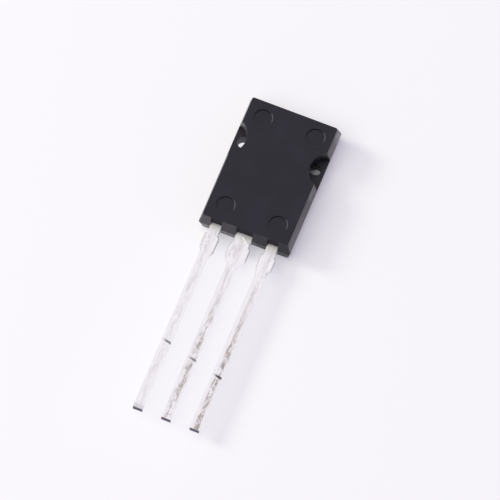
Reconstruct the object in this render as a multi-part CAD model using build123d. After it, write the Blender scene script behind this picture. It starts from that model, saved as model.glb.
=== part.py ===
from build123d import *
import math
import os

# A three-lead triac in a flat moulded power package. It lies on its mounting face.
# X runs across the body, Y along the leads, Z out of the front face. The leads point to -Y.
# The origin is the middle of the mounting face. All sizes are in millimetres.

# ---- Moulded body: length and width are those of the parting line ----
BODY_LENGTH = 10.7
BODY_WIDTH = 7.4
BODY_THICKNESS = 2.5
PARTING_HEIGHT = 1.2
FRONT_INSET = 0.25
BACK_INSET = 0.2
BODY_CORNER_RADIUS = 0.15
FRONT_EDGE_RADIUS = 0.05
BACK_EDGE_RADIUS = 0.05

# ---- Half-round clamp notches in the sides, and the mould-pin hole in each notch's floor ----
NOTCH_FROM_TOP = 3.75
NOTCH_RADIUS = 1.5
NOTCH_AXIS_OUTSIDE = 0.42
NOTCH_TAPER = 0.1
PIN_HOLE_RADIUS = 0.45
PIN_HOLE_FROM_SIDE = 0.75
PIN_HOLE_FROM_TOP = 3.5

# ---- Ejector-pin marks, sunk in the front face ----
EJECTOR_MARK_RADIUS = 0.7
EJECTOR_MARK_DEPTH = 0.15
EJECTOR_MARK_FLARE_WIDTH = 0.08
EJECTOR_MARK_FLARE_DEPTH = 0.037
EJECTOR_MARK_SPACING_X = 4.25
EJECTOR_MARK_SPACING_Y = 7.6

# ---- Leads: stamped flat strip ----
LEAD_PITCH = 2.29
LEAD_LENGTH = 15.65
LEAD_THICKNESS = 0.5
LEAD_STANDOFF = 0.95
LEAD_WIDTH = 0.75
OUTER_ROOT_WIDTH = 0.88
CENTRE_ROOT_WIDTH = 1.33
SHOULDER_OVERHANG = 0.14
SHOULDER_START = 0.65
SHOULDER_END = 1.81
LEAD_EDGE_ROLL = 0.07

# ---- One straight score mark runs slanting across the fronts of all three leads ----
SCORE_FROM_BODY = 10.45
SCORE_SLOPE = -0.262
SCORE_WIDTH = 0.18
SCORE_DEPTH = 0.06

# How far along the lead each shoulder edge ramps: (into the shoulder, out of it), left side then right.
MT1_SHOULDER_RAMPS = ((0.06, 0.3), (0.14, 0.64))
MT2_SHOULDER_RAMPS = ((0.16, 0.64), (0.16, 0.64))
GATE_SHOULDER_RAMPS = ((0.06, 0.64), (0.2, 0.08))

# ---- Heat spreader: the thick end of the centre lead, bare on the mounting face ----
SPREADER_THICKNESS = 1.3
SPREADER_WIDTH = 5.0
SPREADER_LENGTH = 7.4
SPREADER_FROM_TOP = 1.05
LOCK_STEP_HEIGHT = 0.4
LOCK_STEP_OVERHANG = 0.3
SPREADER_CORNER_RADIUS = 0.3
PIN_HOLE_WALL = 0.32
DAM_GROOVE_WIDTH = 0.24
DAM_GROOVE_DEPTH = 0.1
DAM_GROOVE_FROM_END = 0.45
NECK_FLAT = 0.35
NECK_RAMP = 0.45

# ---- Bond posts: the heads of the outer leads inside the body ----
POST_WIDTH = 1.5
POST_LENGTH = 1.1
POST_GAP = 0.5
POST_CORNER_RADIUS = 0.2

# ---- Silicon chip, its solder, glass and metal ----
CHIP_SIZE = 2.2
CHIP_THICKNESS = 0.25
CHIP_FROM_SPREADER_END = 2.2
SOLDER_THICKNESS = 0.05
SOLDER_MARGIN = 0.1
MOAT_WIDTH = 0.18
MOAT_DEPTH = 0.09
MOAT_FROM_EDGE = 0.1
METAL_THICKNESS = 0.02
METAL_CLEARANCE = 0.06
GATE_PAD_SIZE = 0.6
GATE_PAD_GAP = 0.1

# ---- Bond wires ----
MT1_WIRE_DIAMETER = 0.38
GATE_WIRE_DIAMETER = 0.2
WIRE_FLAT_SHARE = 0.25
WIRE_FOOT_LENGTH = 0.45
WIRE_LOOP_HEIGHT = 0.3
WIRE_PEAK_SHARE = 0.4
WIRE_BEND_SHARE = 0.6

# ---- Places worked out from the sizes ----
FRONT_HALF_HEIGHT = BODY_THICKNESS - PARTING_HEIGHT
BODY_TOP_Y = BODY_LENGTH / 2
BODY_LEAD_END_Y = -BODY_LENGTH / 2
FRONT_LEAD_END_Y = BODY_LEAD_END_Y + FRONT_INSET
NOTCH_Y = BODY_TOP_Y - NOTCH_FROM_TOP
NOTCH_AXIS_X = BODY_WIDTH / 2 + NOTCH_AXIS_OUTSIDE
PIN_HOLE_X = BODY_WIDTH / 2 - PIN_HOLE_FROM_SIDE
PIN_HOLE_Y = BODY_TOP_Y - PIN_HOLE_FROM_TOP
LEAD_TOP = LEAD_STANDOFF + LEAD_THICKNESS
LEAD_TIP_Y = BODY_LEAD_END_Y - LEAD_LENGTH
SPREADER_TOP_Y = BODY_TOP_Y - SPREADER_FROM_TOP
SPREADER_END_Y = SPREADER_TOP_Y - SPREADER_LENGTH
POST_TOP_Y = SPREADER_END_Y - POST_GAP
POST_END_Y = POST_TOP_Y - POST_LENGTH
CHIP_Y = SPREADER_END_Y + CHIP_FROM_SPREADER_END
CHIP_BOTTOM = SPREADER_THICKNESS + SOLDER_THICKNESS
CHIP_TOP = CHIP_BOTTOM + CHIP_THICKNESS
METAL_TOP = CHIP_TOP + METAL_THICKNESS
METAL_SIZE = CHIP_SIZE - 2 * (MOAT_FROM_EDGE + MOAT_WIDTH + METAL_CLEARANCE)
MT1_X = -LEAD_PITCH
GATE_X = LEAD_PITCH


def block(x_range, y_range, z_range):
    """A box between two X, two Y and two Z values."""
    spans = (x_range, y_range, z_range)
    centre = [(low + high) / 2 for low, high in spans]
    return Pos(*centre) * Box(*[high - low for low, high in spans])


def both_sides(shape):
    """The shape and its mirror image in the body's middle plane."""
    return shape + mirror(shape, Plane.YZ)


def moulded_blank():
    """The plastic block: two halves that draw in from the parting line, with soft edges."""
    front = drafted_half(BODY_THICKNESS, FRONT_INSET)
    back = drafted_half(0, BACK_INSET)
    front = fillet(front.faces().sort_by(Axis.Z)[-1].edges(), FRONT_EDGE_RADIUS)
    back = fillet(back.faces().sort_by(Axis.Z)[0].edges(), BACK_EDGE_RADIUS)
    return front + back


def drafted_half(face_height, inset):
    """One half of the body, from the parting line to its face."""
    outlines = [
        Pos(0, 0, height)
        * RectangleRounded(BODY_WIDTH - 2 * draw, BODY_LENGTH - 2 * draw, BODY_CORNER_RADIUS)
        for height, draw in ((PARTING_HEIGHT, 0), (face_height, inset))
    ]
    return loft(outlines, ruled=True)


def side_notches():
    """A tapered half-round cut from the front down to the parting line, and a pin hole through its floor."""
    cut = Pos(NOTCH_AXIS_X, NOTCH_Y, PARTING_HEIGHT) * Cone(
        NOTCH_RADIUS - NOTCH_TAPER,
        NOTCH_RADIUS,
        FRONT_HALF_HEIGHT,
        align=(Align.CENTER, Align.CENTER, Align.MIN),
    )
    hole = Pos(PIN_HOLE_X, PIN_HOLE_Y, PARTING_HEIGHT / 2) * Cylinder(
        PIN_HOLE_RADIUS, PARTING_HEIGHT
    )
    return both_sides(cut + hole)


def ejector_marks():
    """Four shallow round sinks in the front face, each with a flared rim."""
    places = GridLocations(EJECTOR_MARK_SPACING_X, EJECTOR_MARK_SPACING_Y, 2, 2)
    down = (Align.CENTER, Align.CENTER, Align.MAX)
    rim = Cone(
        EJECTOR_MARK_RADIUS,
        EJECTOR_MARK_RADIUS + EJECTOR_MARK_FLARE_WIDTH,
        EJECTOR_MARK_FLARE_DEPTH,
        align=down,
    )
    mark = Cylinder(EJECTOR_MARK_RADIUS, EJECTOR_MARK_DEPTH, align=down) + rim
    return [Pos(0, 0, BODY_THICKNESS) * place * mark for place in places]


def lead_pockets():
    """Over each lead root the plastic stands back to the front face's edge, down past the rolled edges."""
    roots = ((MT1_X, OUTER_ROOT_WIDTH), (0, CENTRE_ROOT_WIDTH), (GATE_X, OUTER_ROOT_WIDTH))
    pockets = []
    for x, root_width in roots:
        reach = root_width / 2
        pockets.append(
            block(
                (x - reach, x + reach),
                (BODY_LEAD_END_Y, FRONT_LEAD_END_Y),
                (LEAD_TOP - LEAD_EDGE_ROLL, BODY_THICKNESS),
            )
        )
    return pockets


def lead_outline(x, root_width, ramps, inner_y):
    """Seen from the front: the root, the dam-bar shoulder, its ramps, and the narrow lead to the tip."""
    (left_in, left_out), (right_in, right_out) = ramps
    root = root_width / 2
    shoulder = root + SHOULDER_OVERHANG
    narrow = LEAD_WIDTH / 2
    start_y = BODY_LEAD_END_Y - SHOULDER_START
    end_y = BODY_LEAD_END_Y - SHOULDER_END
    right = [
        (root, inner_y),
        (root, start_y),
        (shoulder, start_y - right_in),
        (shoulder, end_y),
        (narrow, end_y - right_out),
        (narrow, LEAD_TIP_Y),
    ]
    left = [
        (-narrow, LEAD_TIP_Y),
        (-narrow, end_y - left_out),
        (-shoulder, end_y),
        (-shoulder, start_y - left_in),
        (-root, start_y),
        (-root, inner_y),
    ]
    return Pos(x, 0) * make_face(Polyline(*right, *left, close=True))


def stamped(outline):
    """A flat outline at the leads' height and thickness."""
    return extrude(Pos(0, 0, LEAD_STANDOFF) * outline, LEAD_THICKNESS)


def rolled(lead, inner_y):
    """The stamping's rolled-over edges, along the front of the lead from its inner end to its cut tip."""
    edges = (
        lead.edges()
        .filter_by_position(Axis.Z, LEAD_TOP, LEAD_TOP)
        .filter_by_position(Axis.Y, LEAD_TIP_Y + LEAD_EDGE_ROLL, inner_y - LEAD_EDGE_ROLL)
    )
    return fillet(edges, LEAD_EDGE_ROLL)


def score_mark():
    """The shallow V-shaped score across the leads' fronts."""
    middle = Vector(0, BODY_LEAD_END_Y - SCORE_FROM_BODY, LEAD_TOP)
    along = Plane(middle, x_dir=(0, 1, 0), z_dir=(1, SCORE_SLOPE, 0))
    half = SCORE_WIDTH / 2
    profile = along * make_face(
        Polyline((-half, 0), (0, -SCORE_DEPTH), (half, 0), close=True)
    )
    return extrude(profile, LEAD_PITCH + LEAD_WIDTH, both=True)


def outer_lead(x, ramps):
    """An outer lead, with the wide bond post that its wire is bonded to inside the body."""
    strip = lead_outline(x, OUTER_ROOT_WIDTH, ramps, POST_END_Y)
    post = Pos(x, (POST_TOP_Y + POST_END_Y) / 2) * RectangleRounded(
        POST_WIDTH, POST_LENGTH, POST_CORNER_RADIUS
    )
    return rolled(stamped(strip + post), POST_END_Y) - score_mark()


def spreader_plate():
    """The copper block under the chip, with a step that locks it in the plastic."""
    wide = SPREADER_WIDTH + 2 * LOCK_STEP_OVERHANG
    middle = Pos(0, (SPREADER_TOP_Y + SPREADER_END_Y) / 2)
    foot = middle * RectangleRounded(SPREADER_WIDTH, SPREADER_LENGTH, SPREADER_CORNER_RADIUS)
    head = middle * Pos(0, LOCK_STEP_OVERHANG / 2) * RectangleRounded(
        wide, SPREADER_LENGTH + LOCK_STEP_OVERHANG, SPREADER_CORNER_RADIUS
    )
    plate = extrude(foot, LOCK_STEP_HEIGHT) + extrude(
        Pos(0, 0, LOCK_STEP_HEIGHT) * head, SPREADER_THICKNESS - LOCK_STEP_HEIGHT
    )
    relief = Pos(PIN_HOLE_X, PIN_HOLE_Y, SPREADER_THICKNESS / 2) * Cylinder(
        PIN_HOLE_RADIUS + PIN_HOLE_WALL, SPREADER_THICKNESS
    )
    groove_y = SPREADER_END_Y + DAM_GROOVE_FROM_END
    groove_profile = Plane.YZ * make_face(
        Polyline(
            (groove_y - DAM_GROOVE_WIDTH / 2, SPREADER_THICKNESS),
            (groove_y, SPREADER_THICKNESS - DAM_GROOVE_DEPTH),
            (groove_y + DAM_GROOVE_WIDTH / 2, SPREADER_THICKNESS),
            close=True,
        )
    )
    groove = extrude(groove_profile, wide / 2, both=True)
    return plate - both_sides(relief) - groove


def centre_lead():
    """The centre lead and the heat spreader, stamped in one piece, with a joggle between them."""
    ramp_y = SPREADER_END_Y - NECK_FLAT
    lead_y = ramp_y - NECK_RAMP
    neck_profile = Plane.YZ * make_face(
        Polyline(
            (SPREADER_END_Y + SPREADER_CORNER_RADIUS, SPREADER_THICKNESS),
            (ramp_y, SPREADER_THICKNESS),
            (lead_y, LEAD_TOP),
            (lead_y, LEAD_STANDOFF),
            (ramp_y, SPREADER_THICKNESS - LEAD_THICKNESS),
            (SPREADER_END_Y + SPREADER_CORNER_RADIUS, SPREADER_THICKNESS - LEAD_THICKNESS),
            close=True,
        )
    )
    neck = extrude(neck_profile, CENTRE_ROOT_WIDTH / 2, both=True)
    strip = lead_outline(0, CENTRE_ROOT_WIDTH, MT2_SHOULDER_RAMPS, lead_y)
    return spreader_plate() + neck + rolled(stamped(strip), lead_y) - score_mark()


def chip_solder():
    """The solder pad between the chip and the heat spreader."""
    size = CHIP_SIZE + 2 * SOLDER_MARGIN
    half = size / 2
    return block(
        (-half, half), (CHIP_Y - half, CHIP_Y + half), (SPREADER_THICKNESS, CHIP_BOTTOM)
    )


def moat_ring():
    """The glass that fills the groove round the chip's top edge."""
    outer = CHIP_SIZE - 2 * MOAT_FROM_EDGE
    inner = outer - 2 * MOAT_WIDTH
    ring = Rectangle(outer, outer) - Rectangle(inner, inner)
    return extrude(Pos(0, CHIP_Y, CHIP_TOP - MOAT_DEPTH) * ring, MOAT_DEPTH)


def silicon_chip(glass):
    """The silicon die, grooved for its glass."""
    half = CHIP_SIZE / 2
    body = block((-half, half), (CHIP_Y - half, CHIP_Y + half), (CHIP_BOTTOM, CHIP_TOP))
    return body - glass


def chip_metal():
    """The chip's two top contacts: the gate's in the corner near its lead, the other round it."""
    half = METAL_SIZE / 2
    low_y = CHIP_Y - half
    keep_out = GATE_PAD_SIZE + GATE_PAD_GAP
    z_range = (CHIP_TOP, METAL_TOP)
    field = block((-half, half), (low_y, CHIP_Y + half), z_range)
    corner = block((half - keep_out, half), (low_y, low_y + keep_out), z_range)
    gate = block((half - GATE_PAD_SIZE, half), (low_y, low_y + GATE_PAD_SIZE), z_range)
    return field - corner, gate


def bond_wire(diameter, chip_point, post_point):
    """A wire with a foot pressed flat on the chip and another on the post, and a loop between them."""
    radius = diameter / 2
    flat = radius * (1 - 2 * WIRE_FLAT_SHARE)
    half_foot = WIRE_FOOT_LENGTH / 2
    start = Vector(*chip_point, METAL_TOP)
    end = Vector(*post_point, LEAD_TOP)
    along = Vector(end.X - start.X, end.Y - start.Y, 0)
    run = along.length
    along = along.normalized()
    peak = start.Z + radius + WIRE_LOOP_HEIGHT
    stations = (
        (-half_foot, start.Z + flat),
        (half_foot, start.Z + flat),
        (run * WIRE_PEAK_SHARE, peak),
        (run - half_foot, end.Z + flat),
        (run + half_foot, end.Z + flat),
    )
    points = [Vector(start.X, start.Y, z) + along * distance for distance, z in stations]
    legs = [(b - a).length for a, b in zip(points, points[1:])]
    radii = [
        WIRE_BEND_SHARE * min(before, after) / 2 / math.tan(turn / 2)
        for before, after, turn in zip(legs, legs[1:], turns(points))
    ]
    path = FilletPolyline(*points, radius=radii)
    wire = sweep(Plane(points[0], z_dir=along) * Circle(radius), path=path)
    return wire - below_foot(start, along, run) - below_foot(end, along, run)


def turns(points):
    """The angle turned at each inner point, in radians."""
    steps = [b - a for a, b in zip(points, points[1:])]
    return [math.radians(a.get_angle(b)) for a, b in zip(steps, steps[1:])]


def below_foot(seat, along, run):
    """The space under a seat's plane, up to the middle of the wire's run: the foot is pressed flat on it."""
    depth = MT1_WIRE_DIAMETER
    slab = Pos(0, 0, -depth / 2) * Box(run, 2 * depth, depth)
    return Plane(seat, x_dir=along, z_dir=(0, 0, 1)) * slab


def build():
    """Every piece of the triac, by name."""
    glass = moat_ring()
    mt1_metal, gate_metal = chip_metal()
    gate_pad_middle = METAL_SIZE / 2 - GATE_PAD_SIZE / 2
    post_middle_y = (POST_TOP_Y + POST_END_Y) / 2
    inside = {
        "main_terminal_1_lead": outer_lead(MT1_X, MT1_SHOULDER_RAMPS),
        "main_terminal_2_lead_and_heat_spreader": centre_lead(),
        "gate_lead": outer_lead(GATE_X, GATE_SHOULDER_RAMPS),
        "chip_solder": chip_solder(),
        "silicon_chip": silicon_chip(glass),
        "passivation_glass": glass,
        "main_terminal_1_metal": mt1_metal,
        "gate_metal": gate_metal,
        "main_terminal_1_wire": bond_wire(
            MT1_WIRE_DIAMETER, (-METAL_SIZE / 4, CHIP_Y + METAL_SIZE / 4), (MT1_X, post_middle_y)
        ),
        "gate_wire": bond_wire(
            GATE_WIRE_DIAMETER, (gate_pad_middle, CHIP_Y - gate_pad_middle), (GATE_X, post_middle_y)
        ),
    }
    body = moulded_blank() - side_notches() - ejector_marks()
    for piece in lead_pockets() + list(inside.values()):
        body -= piece
    return {"moulded_body": body, **inside}


os.makedirs("parts", exist_ok=True)
for name, shape in build().items():
    export_step(shape, f"parts/{name}.step")
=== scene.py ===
"""The look of a triac in a flat three-lead moulded package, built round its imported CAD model.

Every form of the part is in its CAD solids. This script gives them their materials, and lays the part on a
pale floor with a camera, two lamps and a surround. It adds no piece to the part.
"""

import math
from functools import cached_property

import bpy
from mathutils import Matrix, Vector


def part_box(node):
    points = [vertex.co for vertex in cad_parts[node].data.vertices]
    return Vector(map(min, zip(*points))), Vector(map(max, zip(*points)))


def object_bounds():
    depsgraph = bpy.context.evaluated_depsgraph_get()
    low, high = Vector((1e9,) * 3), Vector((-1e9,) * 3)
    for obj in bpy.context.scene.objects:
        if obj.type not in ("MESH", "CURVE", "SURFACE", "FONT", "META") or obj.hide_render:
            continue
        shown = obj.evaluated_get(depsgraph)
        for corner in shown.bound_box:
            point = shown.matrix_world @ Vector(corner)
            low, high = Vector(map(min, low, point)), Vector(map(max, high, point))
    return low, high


MM = 0.001

BODY = "moulded_body"
LEADS = ("main_terminal_1_lead", "main_terminal_2_lead_and_heat_spreader", "gate_lead")
CHIP_METALS = ("main_terminal_1_metal", "gate_metal", "main_terminal_1_wire", "gate_wire")

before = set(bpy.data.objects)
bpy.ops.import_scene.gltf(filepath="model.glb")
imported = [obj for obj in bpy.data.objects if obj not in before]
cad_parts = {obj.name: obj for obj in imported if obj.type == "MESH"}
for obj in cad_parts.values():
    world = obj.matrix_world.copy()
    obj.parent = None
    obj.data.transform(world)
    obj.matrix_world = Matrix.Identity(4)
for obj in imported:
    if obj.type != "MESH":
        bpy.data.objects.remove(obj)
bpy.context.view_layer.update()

# ---- The part's own places, in millimetres ----
# Row frame: +Z out of the front face, leads to -Y, mounting face on Z = 0.
body_low, body_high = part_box(BODY)
FRONT_MM = body_high.z / MM
BODY_END_MM = body_low.y / MM
TIP_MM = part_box("gate_lead")[0].y / MM
FRONT_FACE_END_MM = -5.1
PARTING_MM = 1.2
PIN_HOLE_AT_MM = (2.95, 1.85)
PIN_HOLE_RADIUS_MM = 0.45
LEAD_PITCH_MM = 2.29
LEAD_TOP_MM = 1.45

# The part of a noise's range in which most of it lies.
NOISE_RANGE = (0.3, 0.7)

# ---- Colours, linear ----
PLASTIC_DARK = (0.0042, 0.0038, 0.0085, 1)
PLASTIC_LIGHT = (0.0072, 0.0064, 0.0130, 1)
PLASTIC_FLECK = (0.030, 0.027, 0.034, 1)
PLASTIC_CHAFE_AND_PAINTED_LIGHT = (0.30, 0.27, 0.31, 1)
PLASTIC_PAINTED_LIGHT = (0.045, 0.042, 0.050, 1)
PLASTIC_RUBBED_AND_SHEEN = (0.110, 0.098, 0.108, 1)
TIN_LIGHT = (0.965, 0.955, 0.95, 1)
TIN_DULL = (0.89, 0.87, 0.86, 1)
TIN_FILM = (0.66, 0.62, 0.60, 1)
TIN_SHADED = (0.60, 0.58, 0.60, 1)
TIN_BRIGHT = (0.98, 0.975, 0.98, 1)
STAIN_GREY = (0.30, 0.28, 0.28, 1)
STAIN_BROWN = (0.32, 0.25, 0.205, 1)
SHEARED_SIDE = (0.34, 0.30, 0.28, 1)
SCORE_DARK = (0.022, 0.018, 0.034, 1)
CUT_END_AND_SHADE = (0.120, 0.095, 0.150, 1)
SOLDER = ((0.42, 0.42, 0.44, 1), (0.55, 0.55, 0.57, 1))
SILICON = ((0.09, 0.09, 0.11, 1), (0.15, 0.15, 0.175, 1))
GLASS = ((0.42, 0.47, 0.38, 1), (0.62, 0.66, 0.58, 1))
ALUMINIUM = ((0.72, 0.72, 0.74, 1), (0.82, 0.82, 0.83, 1))

# ---- Camera ----
AZIMUTH = math.radians(21.9)
ELEVATION = math.radians(69.2)
FIELD_WIDTH = 37.6 * MM
SENSOR_WIDTH = 36.0
LENS = 800.0
AIM_RIGHT = 0.96 * MM
AIM_ALONG = -6.48 * MM
CLIP_NEAR_SHARE = 0.2
CLIP_FAR_SHARE = 5

# ---- Light: a low lamp on the left, a broad one overhead that leans left, and an even surround ----
LAMPS = {
    "low_lamp": dict(direction=(-1.0, 0.0, 0.65), distance=0.60, size=0.18, level=0.25),
    "high_lamp": dict(direction=(-0.35, -0.20, 0.91), distance=0.60, size=0.60, level=0.70),
}
LAMP_COLOUR = (1.0, 0.996, 0.846)
SURROUND_LIGHT = (0.230, 0.208, 0.335, 1.0)
SURROUND_SEEN = (0.96, 0.93, 1.0, 1.0)

# ---- Floor: plain and pale. A share of what shows of it is its own even white, and the rest is lit; the share changes by place ----
FLOOR_SIZE = 2.0
FLOOR_COLOUR = (0.97, 0.97, 0.97, 1.0)
FLOOR_WHITE = (0.92, 0.89, 1.0, 1.0)
FLOOR_WHITE_BY_LEADS = (0.965, 0.945, 1.0, 1.0)
# Painted light and shade: the larger share round the leads lightens their shadows, the larger share under the
# body's left side lights the left pin hole, and the small share under its right side shades the right pin
# hole.
FLOOR_WHITE_SHARE = 0.37
FLOOR_WHITE_SHARE_BY_LEADS = 0.80
FLOOR_WHITE_SHARE_UNDER_LEFT = 0.90
FLOOR_WHITE_SHARE_UNDER_RIGHT = 0.03
# Where the floor counts as outside the body and as round the leads, in half sizes of the body.
OUTSIDE_BODY = (0.90, 1.0)
UNDER_LEFT_TO_RIGHT = (-0.5, 0.5)
BY_LEADS_TOP = (-1.0, -1.3)
BY_LEADS_BOTTOM = (-5.5, -4.2)
BY_LEADS_RIGHT = (1.4, 0.3)
BY_LEADS_LEFT = (-3.0, -1.2)


class Surface:
    """A material's node tree, with short names for what its masks and colours are made of."""

    def __init__(self, name):
        self.material = bpy.data.materials.new(name)
        self.material.use_nodes = True
        self.tree = self.material.node_tree
        self.shader = self.tree.nodes["Principled BSDF"]
        self.geometry = self.add("ShaderNodeNewGeometry")
        self.colour = None

    def add(self, kind, **settings):
        """A new node, with its settings."""
        node = self.tree.nodes.new(kind)
        for key, value in settings.items():
            setattr(node, key, value)
        return node

    def feed(self, socket, value):
        """Links an output to a socket, or sets the socket's own value."""
        if isinstance(value, bpy.types.NodeSocket):
            self.tree.links.new(value, socket)
        else:
            socket.default_value = value

    def set(self, name, value):
        """Feeds one of the shader's inputs."""
        self.feed(self.shader.inputs[name], value)

    # -- Where the point is and which way it faces --

    def scaled_position(self, scale):
        """The surface position in metres times a scale for each axis."""
        node = self.add("ShaderNodeVectorMath", operation="MULTIPLY")
        self.feed(node.inputs[0], self.geometry.outputs["Position"])
        node.inputs[1].default_value = scale
        return node.outputs[0]

    def by_axis(self, vector):
        """A vector's three parts."""
        node = self.add("ShaderNodeSeparateXYZ")
        self.feed(node.inputs[0], vector)
        return node.outputs

    @cached_property
    def place(self):
        """The surface position's X, Y and Z, in millimetres."""
        return self.by_axis(self.scaled_position((1 / MM,) * 3))

    @cached_property
    def facing(self):
        """The surface's own direction, as X, Y and Z."""
        return self.by_axis(self.geometry.outputs["True Normal"])

    # -- Numbers --

    def math(self, operation, *values):
        """A Math node's result."""
        node = self.add("ShaderNodeMath", operation=operation)
        for socket, value in zip(node.inputs, values):
            self.feed(socket, value)
        return node.outputs[0]

    def plus(self, first, second):
        """The sum of two numbers."""
        return self.math("ADD", first, second)

    def minus(self, first, second):
        """The first number less the second."""
        return self.math("SUBTRACT", first, second)

    def part(self, value, share):
        """A share of a number."""
        return self.math("MULTIPLY", value, share)

    def size_of(self, value):
        """A number without its sign."""
        return self.math("ABSOLUTE", value)

    def along(self, x, y, direction):
        """How far x and y reach in a direction of their plane."""
        return self.plus(self.part(x, direction[0]), self.part(y, direction[1]))

    def blend(self, share, first, second):
        """A number between two, by share."""
        node = self.add("ShaderNodeMix", data_type="FLOAT")
        self.feed(node.inputs["Factor"], share)
        self.feed(node.inputs["A"], first)
        self.feed(node.inputs["B"], second)
        return node.outputs["Result"]

    # -- Masks, which are 0 where a thing is absent and 1 where it is full --

    def ramp(self, value, start, end, at_start=0.0, at_end=1.0):
        """Goes smoothly from at_start to at_end as value goes from start to end, and holds beyond both."""
        node = self.add("ShaderNodeMapRange", interpolation_type="SMOOTHSTEP")
        self.feed(node.inputs["Value"], value)
        node.inputs["From Min"].default_value = start
        node.inputs["From Max"].default_value = end
        node.inputs["To Min"].default_value = at_start
        node.inputs["To Max"].default_value = at_end
        return node.outputs["Result"]

    def band(self, value, middle, full, none):
        """1 where value is within full of the middle, and 0 beyond none from it."""
        return self.ramp(self.size_of(self.minus(value, middle)), full, none, 1.0, 0.0)

    def all_of(self, *masks):
        """The product of some masks: full only where each of them is."""
        product = masks[0]
        for mask in masks[1:]:
            product = self.math("MULTIPLY", product, mask)
        return product

    def any_of(self, *masks):
        """The largest of some masks."""
        largest = masks[0]
        for mask in masks[1:]:
            largest = self.math("MAXIMUM", largest, mask)
        return largest

    # -- Patterns --

    def noise(self, waves, detail=3.0, roughness=0.5, distortion=0.0):
        """Noise from 0 to 1. Waves is how many lie in a millimetre, as one number or as one for each axis."""
        by_axis = waves if isinstance(waves, tuple) else (waves,) * 3
        node = self.add("ShaderNodeTexNoise")
        self.feed(node.inputs["Vector"], self.scaled_position([count / MM for count in by_axis]))
        node.inputs["Scale"].default_value = 1.0
        node.inputs["Detail"].default_value = detail
        node.inputs["Roughness"].default_value = roughness
        node.inputs["Distortion"].default_value = distortion
        return node.outputs["Fac"]

    def swing(self, noise, width):
        """Noise spread evenly round 0, over a width."""
        return self.part(self.minus(noise, 0.5), width)

    def bump(self, height, depth_mm):
        """A bump normal from a height of 0 to 1, which stands for a depth in millimetres."""
        node = self.add("ShaderNodeBump")
        node.inputs["Strength"].default_value = 1.0
        node.inputs["Distance"].default_value = depth_mm * MM
        self.feed(node.inputs["Height"], height)
        return node.outputs["Normal"]

    # -- Colours --

    def mix(self, share, first, second):
        """A colour between two, by share."""
        node = self.add("ShaderNodeMix", data_type="RGBA")
        self.feed(node.inputs["Factor"], share)
        self.feed(node.inputs["A"], first)
        self.feed(node.inputs["B"], second)
        return node.outputs["Result"]

    def paint(self, tint, mask, share=1.0):
        """Lays a tint over the colour so far, by a share of the mask. The mix holds it to between 0 and 1."""
        self.colour = self.mix(self.part(mask, share), self.colour, tint)


# ---- Plastic ----
# A pair in millimetres says where a change starts and where it is complete, but AT_MM is a place.

UPPER_HALF_MM = (PARTING_MM, PARTING_MM + 0.4)
LEAD_END_SLOPE_MM = (FRONT_FACE_END_MM, FRONT_FACE_END_MM - 0.04)
POCKET_WALLS_MM = (FRONT_FACE_END_MM + 0.05, FRONT_FACE_END_MM + 0.01)
INSIDE_LEFT_MM = (-3.72, -3.66)

CHAFE_AT_MM = (3.60, -0.35)
SIDE_FACE_MM = (3.40, 3.45)
SIDE_TO_ENDS_MM = (1.5, 4.5)
SIDE_TO_FAR_END_MM = (2.8, 4.7)
SIDE_DOWN_MM = (FRONT_MM, FRONT_MM - 0.9)
CORNER_ACROSS_MM = (3.4, 3.5)
CORNER_ALONG_MM = (3.9, 4.7)
CORNER_DOWN_MM = (FRONT_MM - 0.1, FRONT_MM - 0.7)

LIGHT_TO_LEFT_MM = (0.2, -3.2)
LEFT_WALL_LIGHT = 0.7

SHADE_TO_RIGHT_MM = (0.3, 1.2)
LEAD_END_SHADE_AND_MATT = 0.6
PIN_HOLE_TOP_MM = (PARTING_MM, PARTING_MM - 0.02)
PIN_HOLE_SHADE_AND_MATT = 0.6
NOTCH_FLOOR_SHADE_AND_MATT = 0.55

# The flared rims of the sinks in the front face: where they are, how upright, how matt, and which way their
# right side looks, where a highlight is painted on.
SINK_RIM_MM = (FRONT_MM - 0.05, FRONT_MM - 0.04)
SINK_RIM_FACING = 0.907
SINK_RIM_MATT = 0.5
SINK_HIGHLIGHT_SIDE_LOOKS = (-0.936, -0.352)


def chafed_spot(n):
    """The pale spot with a ragged outline on the upper half of the right side face."""
    x, y, z = n.place
    spot_x, spot_y = CHAFE_AT_MM
    ragged = n.swing(n.noise(1.5), width=0.9)
    return n.all_of(
        n.band(x, spot_x, full=0.10, none=0.16),
        n.band(n.plus(y, ragged), spot_y, full=0.30, none=0.75),
        n.ramp(z, *UPPER_HALF_MM),
        n.ramp(n.noise((3.0, 1.2, 3.0), detail=4.0), 0.3, 0.6),
    )


def rubbed_sides_and_sheen(n, mottle):
    """The side faces, paler from rubbing and from a painted reflection of the floor: more towards both ends
    and the mounting face, and most at the far end.
    """
    x, y, z = n.place
    return n.all_of(
        n.ramp(n.size_of(n.facing["X"]), 0.90, 0.96),
        n.ramp(mottle, 0.0, 1.0, at_start=0.40, at_end=1.0),
        n.ramp(n.size_of(x), *SIDE_FACE_MM),
        n.ramp(n.size_of(y), *SIDE_TO_ENDS_MM, at_start=0.55, at_end=1.4),
        n.ramp(y, *SIDE_TO_FAR_END_MM, at_start=1.0, at_end=1.5),
        n.ramp(z, *SIDE_DOWN_MM, at_start=0.35, at_end=1.15),
    )


def rubbed_and_lit_corner(n):
    """The right side face's corner away from the leads, where the rubbing is strongest and painted light makes
    it palest.
    """
    x, y, z = n.place
    return n.all_of(n.ramp(x, *CORNER_ACROSS_MM), n.ramp(y, *CORNER_ALONG_MM), n.ramp(z, *CORNER_DOWN_MM))


def lit_left_facing_walls(n):
    """The upright walls that face left in the upper half, inside the outline: above all the left notch's. They
    get painted light, as the light comes from the left.
    """
    x, _, z = n.place
    return n.all_of(
        n.ramp(n.facing["X"], -0.3, -0.6),
        n.ramp(x, *INSIDE_LEFT_MM),
        n.ramp(n.size_of(n.facing["Z"]), 0.14, 0.10),
        n.ramp(z, *UPPER_HALF_MM),
    )


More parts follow.
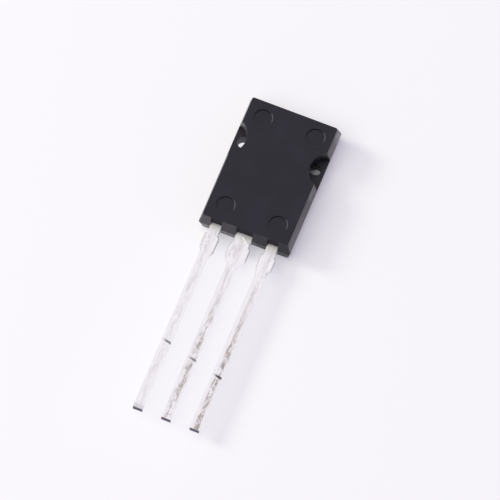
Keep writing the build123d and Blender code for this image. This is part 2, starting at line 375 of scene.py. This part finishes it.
def shade_and_matt_places(n, lead_end, sink_rim):
    """Where the plastic gets its darkest tone and no sheen, and how strongly. In the pocket walls over the
    leads, the pin holes, the notch floors and the right of the lead end, the dark tone is painted shade.
    """
    x, y, z = n.place
    upright = n.ramp(n.size_of(n.facing["Z"]), 0.08, 0.03)
    shaded_over_leads = n.all_of(n.ramp(y, *POCKET_WALLS_MM), upright)
    notch_floor = n.all_of(n.ramp(n.facing["Z"], 0.9, 0.98), n.band(z, PARTING_MM, full=0.01, none=0.03))
    hole_x, hole_y = PIN_HOLE_AT_MM
    within = dict(full=PIN_HOLE_RADIUS_MM + 0.02, none=PIN_HOLE_RADIUS_MM + 0.05)
    pin_hole = n.all_of(
        n.ramp(z, *PIN_HOLE_TOP_MM),
        n.band(n.size_of(x), hole_x, **within),
        n.band(y, hole_y, **within),
        upright,
    )
    shaded_lead_end = n.all_of(lead_end, n.ramp(x, *SHADE_TO_RIGHT_MM))
    return n.any_of(
        shaded_over_leads,
        n.part(pin_hole, PIN_HOLE_SHADE_AND_MATT),
        n.part(notch_floor, NOTCH_FLOOR_SHADE_AND_MATT),
        n.part(sink_rim, SINK_RIM_MATT),
        n.part(shaded_lead_end, LEAD_END_SHADE_AND_MATT),
    )


def moulded_plastic():
    """Finely matt black moulding compound, a little uneven, with the mould's parting line and wear, and with
    painted light, shade, reflection and highlights.
    """
    n = Surface("moulded_plastic")
    x, y, z = n.place
    grain = n.noise(9.0, detail=4.0, roughness=0.65)
    cloud = n.ramp(n.noise(0.55), *NOISE_RANGE)
    fleck = n.ramp(n.noise(5.0, detail=2.0), 0.68, 0.78)
    mottle = n.ramp(n.noise(2.2, detail=4.0, roughness=0.6), 0.25, 0.60)
    parting_line = n.band(z, PARTING_MM, full=0.025, none=0.045)
    sink_rim = n.all_of(
        n.band(n.facing["Z"], SINK_RIM_FACING, full=0.01, none=0.03),
        n.ramp(z, *SINK_RIM_MM),
    )
    on_highlight_side = n.ramp(n.along(n.facing["X"], n.facing["Y"], SINK_HIGHLIGHT_SIDE_LOOKS), 0.33, 0.41)
    rim_highlight = n.all_of(sink_rim, on_highlight_side)

    # Painted light lies on the lead end, more and more towards its left, where the light comes from.
    lead_end = n.ramp(y, *LEAD_END_SLOPE_MM)
    lit_lead_end = n.all_of(
        lead_end,
        n.ramp(x, *LIGHT_TO_LEFT_MM),
        n.ramp(mottle, 0.0, 1.0, at_start=0.5, at_end=1.2),
    )
    rubbed_and_sheen = rubbed_sides_and_sheen(n, mottle)
    chafed_and_lit = n.any_of(chafed_spot(n), n.all_of(rubbed_and_sheen, rubbed_and_lit_corner(n)))
    matt = shade_and_matt_places(n, lead_end, sink_rim)

    n.colour = n.mix(cloud, PLASTIC_DARK, PLASTIC_LIGHT)
    n.paint(PLASTIC_FLECK, fleck, share=0.35)
    n.paint(PLASTIC_FLECK, parting_line, share=0.5)
    # Painted light: the lead end towards its left, and the walls that face left, are paler.
    n.paint(PLASTIC_PAINTED_LIGHT, n.any_of(lit_lead_end, n.part(lit_left_facing_walls(n), LEFT_WALL_LIGHT)))
    # Side faces: rubbing, with a painted reflection of the floor.
    n.paint(PLASTIC_RUBBED_AND_SHEEN, rubbed_and_sheen, share=0.7)
    # The chafe spot is real wear. The far corner is paler from rubbing and from painted light.
    n.paint(PLASTIC_CHAFE_AND_PAINTED_LIGHT, chafed_and_lit, share=0.4)
    # Painted shade: the darkest tone in the pocket walls, pin holes, notch floors and the right of the lead
    # end.
    n.paint(PLASTIC_DARK, matt)
    # Painted highlight on the right side of the sinks' flared rims.
    n.paint(PLASTIC_CHAFE_AND_PAINTED_LIGHT, rim_highlight, share=0.20)

    n.set("Base Color", n.colour)
    n.set("Roughness", n.any_of(n.ramp(cloud, 0.0, 1.0, at_start=0.30, at_end=0.36), n.part(matt, 0.8)))
    n.set("Normal", n.bump(grain, depth_mm=0.0025))
    n.set("IOR", 1.42)
    return n.material


# ---- Leads ----
# Pairs in millimetres are as for the plastic.

# Out of the body, along a lead.
OUT_OF_BODY_MM = (-1.2, -0.9)
BY_BODY_MM = (-0.1, 0.8)
ROOT_MM = (0.7, 0.1)
SHOULDER_FROM_MM = (0.55, 0.65)
SHOULDER_TO_MM = (2.4, 1.9)
FILM_GROWS_MM = (0.3, 4.0)
STAINS_GROW_MM = (5.5, 9.5)
LEFT_STAINS_GROW_MM = (1.0, 2.0)

# Across the part, from lead to lead.
LEFT_LEAD_MM = (-1.0, -1.3)
OUTER_LEADS_MM = (0.9, 1.2)
NOT_RIGHT_LEAD_MM = (1.2, 0.9)
LEFT_TO_RIGHT_MM = (-1.9, 1.9)
LEFT_TO_MIDDLE_MM = (-2.1, 0.0)
MIDDLE_TO_RIGHT_MM = (1.2, 2.0)
STAINS_SHIFT_MM = 0.09
STAINS_WANDER_MM = 0.35

# Back from the tips.
DARKER_TIP_MM = (TIP_MM + 0.50, TIP_MM + 0.20)
CUT_MM = (TIP_MM + 0.06, TIP_MM + 0.01)

# The score: its Y at X = 0, its slope, how deep it goes, and where it changes from lead to lead.
SCORE_MM = -15.8
SCORE_SLOPE = -0.262
SCORE_TOP_MM = (LEAD_TOP_MM - 0.12, LEAD_TOP_MM - 0.08)
SCORE_TO_RIGHT_MM = (0.5, 1.8)
SCORE_TO_LEFT_MM = (-0.8, -1.8)

# The crease on the middle lead's root: a point on it, and which way across it the pressed corner lies.
CREASE_AT_MM = (-0.04, -5.4)
CREASE_ACROSS = (0.647, 0.763)
PRESSED_MM = (0.70, 0.55)


def stains(n, from_body, across, left_lead, out_of_body, blot):
    """How strong the stains along each lead's middle are, and the thin film round them."""
    x = n.place["X"]
    run = n.noise((6.0, 0.8, 6.0), detail=4.0, roughness=0.6)

    # They wander from side to side, and lie further right the further right the lead is.
    wander = n.swing(n.noise((0.3, 0.8, 0.3), detail=2.0), width=STAINS_WANDER_MM)
    shift = n.ramp(x, *LEFT_TO_RIGHT_MM, at_end=STAINS_SHIFT_MM)
    from_middle = n.minus(n.plus(across, wander), shift)
    crosswise = n.blend(
        left_lead,
        n.band(from_middle, 0.0, full=0.08, none=0.28),
        n.band(from_middle, 0.0, full=0.12, none=0.31),
    )
    # They grow towards the tips. The left lead's reach their full strength close to its root.
    lengthwise = n.blend(
        left_lead,
        n.ramp(from_body, *STAINS_GROW_MM, at_start=0.30, at_end=1.2),
        n.ramp(from_body, *LEFT_STAINS_GROW_MM, at_start=0.4, at_end=0.65),
    )
    # The left lead has the least of them and the right lead the most. The heat spreader's back has none.
    to_middle_lead = n.ramp(x, *LEFT_TO_MIDDLE_MM, at_start=0.36, at_end=0.92)
    to_right_lead = n.ramp(x, *MIDDLE_TO_RIGHT_MM, at_end=0.15)
    by_lead = n.all_of(n.plus(to_middle_lead, to_right_lead), out_of_body)

    patch = n.ramp(n.plus(n.part(blot, 0.6), n.part(run, 0.4)), 0.42, 0.60)
    film = n.all_of(
        n.band(from_middle, 0.0, full=0.15, none=0.38),
        n.ramp(run, 0.35, 0.65),
        n.ramp(from_body, *FILM_GROWS_MM, at_start=0.3, at_end=0.9),
        by_lead,
    )
    return n.all_of(crosswise, lengthwise, by_lead, patch), film


def shoulder_smudge(n, from_body, across, blot):
    """A brown smudge on the left of the left and middle leads' shoulders."""
    return n.all_of(
        n.band(across, -0.30, full=0.15, none=0.40),
        n.band(from_body, 1.35, full=0.35, none=0.75),
        n.ramp(blot, 0.40, 0.65),
        n.ramp(n.place["X"], *NOT_RIGHT_LEAD_MM),
    )


def root_crease_shade_and_highlight(n, from_body, out_of_body):
    """Painted shade on the corner of the middle lead's root, which is pressed out of flat, and a painted
    highlight on the crease along it.
    """
    x, y, _ = n.place
    crease_x, crease_y = CREASE_AT_MM
    past_crease = n.along(n.minus(x, crease_x), n.minus(y, crease_y), CREASE_ACROSS)
    pressed = n.all_of(
        n.ramp(past_crease, 0.0, 0.05),
        n.band(x, 0.35, full=0.40, none=0.42),
        n.ramp(from_body, *PRESSED_MM),
        out_of_body,
    )
    crease = n.all_of(
        n.band(past_crease, 0.0, full=0.03, none=0.06),
        n.band(x, 0.3, full=0.36, none=0.42),
        n.band(from_body, 0.30, full=0.34, none=0.42),
    )
    return pressed, crease


def sheared_sides(n, from_body, left_edge, blot):
    """The shoulders' sides, where the dam bars were sheared off, and blots on their rolled left edges."""
    return n.all_of(
        n.any_of(
            n.ramp(n.size_of(n.facing["X"]), 0.8, 0.97),
            n.all_of(left_edge, n.ramp(blot, 0.40, 0.60, at_end=0.5)),
        ),
        n.ramp(from_body, *SHOULDER_FROM_MM),
        n.ramp(from_body, *SHOULDER_TO_MM),
    )


def score_mark(n, across):
    """The dark score aslant over the leads' tops. It is weaker on each lead's left, and on the middle lead."""
    x, y, z = n.place
    line = n.plus(n.part(x, SCORE_SLOPE), SCORE_MM)
    ragged = n.swing(n.noise(5.0, detail=2.0), width=0.10)
    return n.all_of(
        n.band(n.plus(n.minus(y, line), ragged), 0.0, full=0.07, none=0.12),
        n.ramp(z, *SCORE_TOP_MM),
        n.ramp(across, -0.32, 0.05, at_start=0.1, at_end=0.90),
        n.any_of(
            n.ramp(x, *SCORE_TO_RIGHT_MM, at_start=0.60, at_end=1.0),
            n.ramp(x, *SCORE_TO_LEFT_MM, at_end=0.78),
        ),
    )


def tinned_lead():
    """Tin-plated strip: pale satin metal, stained along its middle, dark where it was scored, and dark where
    it was cut, partly as painted shade. It has painted shade by the outer roots and on the pressed corner, and
    painted light on the crease and the right sides.
    """
    n = Surface("tinned_lead")
    x, y, _ = n.place
    across = n.math("WRAP", x, LEAD_PITCH_MM / 2, -LEAD_PITCH_MM / 2)
    from_body = n.minus(BODY_END_MM, y)
    out_of_body = n.ramp(from_body, *OUT_OF_BODY_MM)
    left_lead = n.ramp(x, *LEFT_LEAD_MM)
    outer_leads = n.ramp(n.size_of(x), *OUTER_LEADS_MM)

    fine = n.noise((14.0, 1.0, 14.0), detail=4.0, roughness=0.6)
    blot = n.noise((6.0, 2.4, 6.0), detail=5.0, roughness=0.7, distortion=0.5)
    hue = n.ramp(n.noise(1.6, detail=2.0), 0.35, 0.65)

    # The plating is dull on the rolled left edges. The right sides are painted lighter, and the outer roots
    # get painted shade next to the body.
    left_edge = n.all_of(n.ramp(n.facing["X"], -0.15, -0.5), n.ramp(n.facing["Z"], 0.2, 0.5))
    lit_right_side = n.ramp(n.facing["X"], 0.3, 0.7)
    root = n.all_of(n.ramp(from_body, *ROOT_MM), out_of_body, outer_leads)
    stain, film = stains(n, from_body, across, left_lead, out_of_body, blot)
    pressed, crease = root_crease_shade_and_highlight(n, from_body, out_of_body)
    darker_left_tip = n.all_of(left_lead, n.ramp(y, *DARKER_TIP_MM))
    score = score_mark(n, across)
    cut = n.ramp(y, *CUT_MM)

    n.colour = n.mix(n.ramp(fine, 0.35, 0.7), TIN_LIGHT, TIN_DULL)
    n.paint(TIN_FILM, film, share=0.5)
    n.paint(n.mix(hue, STAIN_GREY, STAIN_BROWN), stain, share=0.8)
    n.paint(STAIN_BROWN, shoulder_smudge(n, from_body, across, blot), share=0.35)
    # Painted shade on the pressed corner, and a painted highlight on the crease.
    n.paint(TIN_SHADED, pressed, share=0.45)
    n.paint(TIN_BRIGHT, crease)
    n.paint(TIN_FILM, left_edge, share=0.3)
    # Painted light on the right sides, and painted shade on the outer roots next to the body.
    n.paint(TIN_BRIGHT, lit_right_side, share=0.9)
    n.paint(TIN_SHADED, root, share=0.25)
    # The left lead darkens over its last half millimetre.
    n.paint(TIN_SHADED, darker_left_tip, share=0.6)
    n.paint(SHEARED_SIDE, sheared_sides(n, from_body, left_edge, blot), share=0.75)
    n.paint(SCORE_DARK, score)
    # The cut ends: dark bare metal, with painted shade.
    n.paint(CUT_END_AND_SHADE, cut)

    # By the body the plating is dull with moulding film, and stays pale where it would mirror the plastic.
    by_body = n.all_of(n.ramp(from_body, *BY_BODY_MM, at_start=0.55, at_end=0.0), out_of_body)
    dark = n.any_of(score, cut)
    not_metal = n.any_of(dark, n.part(stain, 0.5), by_body, crease)
    rough = n.plus(
        n.ramp(fine, *NOISE_RANGE, at_start=0.30, at_end=0.42),
        n.part(n.any_of(stain, left_edge), 0.2),
    )
    n.set("Base Color", n.colour)
    n.set("Metallic", n.minus(1.0, not_metal))
    n.set("Roughness", n.any_of(rough, n.part(dark, 0.7)))
    n.set("Normal", n.bump(n.plus(fine, n.part(blot, 0.6)), depth_mm=0.003))
    return n.material


# ---- The pieces inside the plastic ----


def grained(name, grain_waves, colours, depth_mm, edges=NOISE_RANGE, **noise_settings):
    """A surface whose colour and relief follow one grain, and that grain."""
    n = Surface(name)
    grain = n.noise(grain_waves, **noise_settings)
    n.set("Base Color", n.mix(n.ramp(grain, *edges), *colours))
    n.set("Normal", n.bump(grain, depth_mm))
    return n, grain


def soft_solder():
    """Dull solder with a coarse frosted grain."""
    n, grain = grained("solder", 14.0, SOLDER, depth_mm=0.004, edges=(0.35, 0.65), detail=4.0, roughness=0.6)
    n.set("Roughness", n.ramp(grain, *NOISE_RANGE, at_start=0.4, at_end=0.6))
    n.set("Metallic", 1.0)
    return n.material


def silicon():
    """Ground silicon: dark blue-grey, with the saw's fine lines."""
    n, saw = grained("silicon", (6.0, 6.0, 60.0), SILICON, depth_mm=0.001)
    n.set("Roughness", n.ramp(saw, *NOISE_RANGE, at_start=0.2, at_end=0.35))
    n.set("Metallic", 0.6)
    return n.material


def sealing_glass():
    """Fused glass with a pale green-grey cast and small bubbles."""
    n, _ = grained("sealing_glass", 22.0, GLASS, depth_mm=0.002, edges=(0.6, 0.7), detail=2.0)
    n.set("Roughness", 0.12)
    n.set("Transmission Weight", 0.35)
    return n.material


def bond_metal():
    """Bare aluminium, drawn or evaporated, with a fine grain."""
    n, grain = grained("bond_metal", 30.0, ALUMINIUM, depth_mm=0.001)
    n.set("Roughness", n.ramp(grain, *NOISE_RANGE, at_start=0.25, at_end=0.4))
    n.set("Metallic", 1.0)
    return n.material


def dress(nodes, material):
    """Gives CAD nodes a material."""
    for node in nodes:
        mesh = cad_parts[node].data
        mesh.materials.clear()
        mesh.materials.append(material)


# ---- The studio ----


def place_in_scene(name, data, location, back):
    """An object with this data at a location, turned so that back is behind it."""
    placed = bpy.data.objects.new(name, data)
    placed.location = location
    placed.rotation_mode = "QUATERNION"
    placed.rotation_quaternion = back.to_track_quat("Z", "Y")
    bpy.context.scene.collection.objects.link(placed)
    return placed


def make_camera():
    """A long lens at the photograph's angle, aimed at a point level with the front face."""
    back = Vector(
        (
            math.sin(AZIMUTH) * math.cos(ELEVATION),
            -math.cos(AZIMUTH) * math.cos(ELEVATION),
            math.sin(ELEVATION),
        )
    )
    aim = Vector((AIM_RIGHT, AIM_ALONG, body_high.z))
    data = bpy.data.cameras.new("camera")
    data.lens = LENS
    data.sensor_width = SENSOR_WIDTH
    distance = FIELD_WIDTH * LENS / SENSOR_WIDTH
    data.clip_start = distance * CLIP_NEAR_SHARE
    data.clip_end = distance * CLIP_FAR_SHARE
    bpy.context.scene.camera = place_in_scene("camera", data, aim + back * distance, back)


def make_lamp(name, direction, distance, size, level):
    """A square area lamp that faces the part. Level 1 alone would show a white floor as white.

    It doesn't show in a gloss: from the side, the pale leads would glare in it.
    """
    away = Vector(direction).normalized()
    data = bpy.data.lights.new(name, "AREA")
    data.shape = "SQUARE"
    data.size = size
    data.color = LAMP_COLOUR
    data.energy = level * math.pi**2 * distance**2 / away.z
    place_in_scene(name, data, away * distance, away).visible_glossy = False


def seen_directly(tree):
    """1 for what the camera sees, also in a gloss or through glass, and 0 for light that spreads."""
    path = tree.nodes.new("ShaderNodeLightPath")
    seen = path.outputs["Is Camera Ray"]
    for kind in ("Is Glossy Ray", "Is Transmission Ray"):
        either = tree.nodes.new("ShaderNodeMath")
        either.operation = "MAXIMUM"
        tree.links.new(seen, either.inputs[0])
        tree.links.new(path.outputs[kind], either.inputs[1])
        seen = either.outputs[0]
    return seen


def make_surround():
    """An even pale surround, which is white where it is seen."""
    world = bpy.data.worlds.new("surround")
    bpy.context.scene.world = world
    world.use_nodes = True
    tree = world.node_tree
    colour = tree.nodes.new("ShaderNodeMix")
    colour.data_type = "RGBA"
    colour.inputs["A"].default_value = SURROUND_LIGHT
    colour.inputs["B"].default_value = SURROUND_SEEN
    tree.links.new(seen_directly(tree), colour.inputs["Factor"])
    tree.links.new(colour.outputs["Result"], tree.nodes["Background"].inputs["Color"])


def floor_material():
    """Matt and pale. Its own white shows most round the leads and under the body's left side, which paints
    light into the leads' shadows and the left pin hole, and least under the right side, which paints shade
    into the right pin hole.
    """
    n = Surface("floor")
    x, y, _ = n.by_axis(n.scaled_position((1 / body_high.x, 1 / body_high.y, 1.0)))
    outside = n.ramp(n.any_of(n.size_of(x), n.size_of(y)), *OUTSIDE_BODY)
    by_leads = n.all_of(
        n.ramp(y, *BY_LEADS_TOP),
        n.ramp(y, *BY_LEADS_BOTTOM),
        n.ramp(x, *BY_LEADS_RIGHT),
        n.ramp(x, *BY_LEADS_LEFT),
    )
    white_share = n.blend(
        outside,
        n.ramp(x, *UNDER_LEFT_TO_RIGHT, FLOOR_WHITE_SHARE_UNDER_LEFT, FLOOR_WHITE_SHARE_UNDER_RIGHT),
        n.ramp(by_leads, 0.0, 1.0, FLOOR_WHITE_SHARE, FLOOR_WHITE_SHARE_BY_LEADS),
    )
    n.set("Base Color", FLOOR_COLOUR)
    n.set("Roughness", 0.9)
    n.set("Specular IOR Level", 0.0)
    white = n.add("ShaderNodeEmission")
    n.feed(white.inputs["Color"], n.mix(by_leads, FLOOR_WHITE, FLOOR_WHITE_BY_LEADS))
    blend = n.add("ShaderNodeMixShader")
    n.feed(blend.inputs["Fac"], n.part(seen_directly(n.tree), white_share))
    n.feed(blend.inputs[1], n.shader.outputs[0])
    n.feed(blend.inputs[2], white.outputs[0])
    n.feed(n.tree.nodes["Material Output"].inputs["Surface"], blend.outputs[0])
    return n.material


def make_floor():
    """A pale floor that the part lies on, which keeps the part's shadow."""
    bpy.ops.mesh.primitive_plane_add(size=FLOOR_SIZE, location=(0, 0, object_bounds()[0].z))
    floor = bpy.context.object
    floor.name = "floor"
    floor.data.materials.append(floor_material())


make_camera()
make_surround()
for lamp_name, settings in LAMPS.items():
    make_lamp(lamp_name, **settings)
make_floor()

dress([BODY], moulded_plastic())
dress(LEADS, tinned_lead())
dress(["chip_solder"], soft_solder())
dress(["silicon_chip"], silicon())
dress(["passivation_glass"], sealing_glass())
dress(CHIP_METALS, bond_metal())

bpy.context.scene.view_settings.view_transform = "Standard"
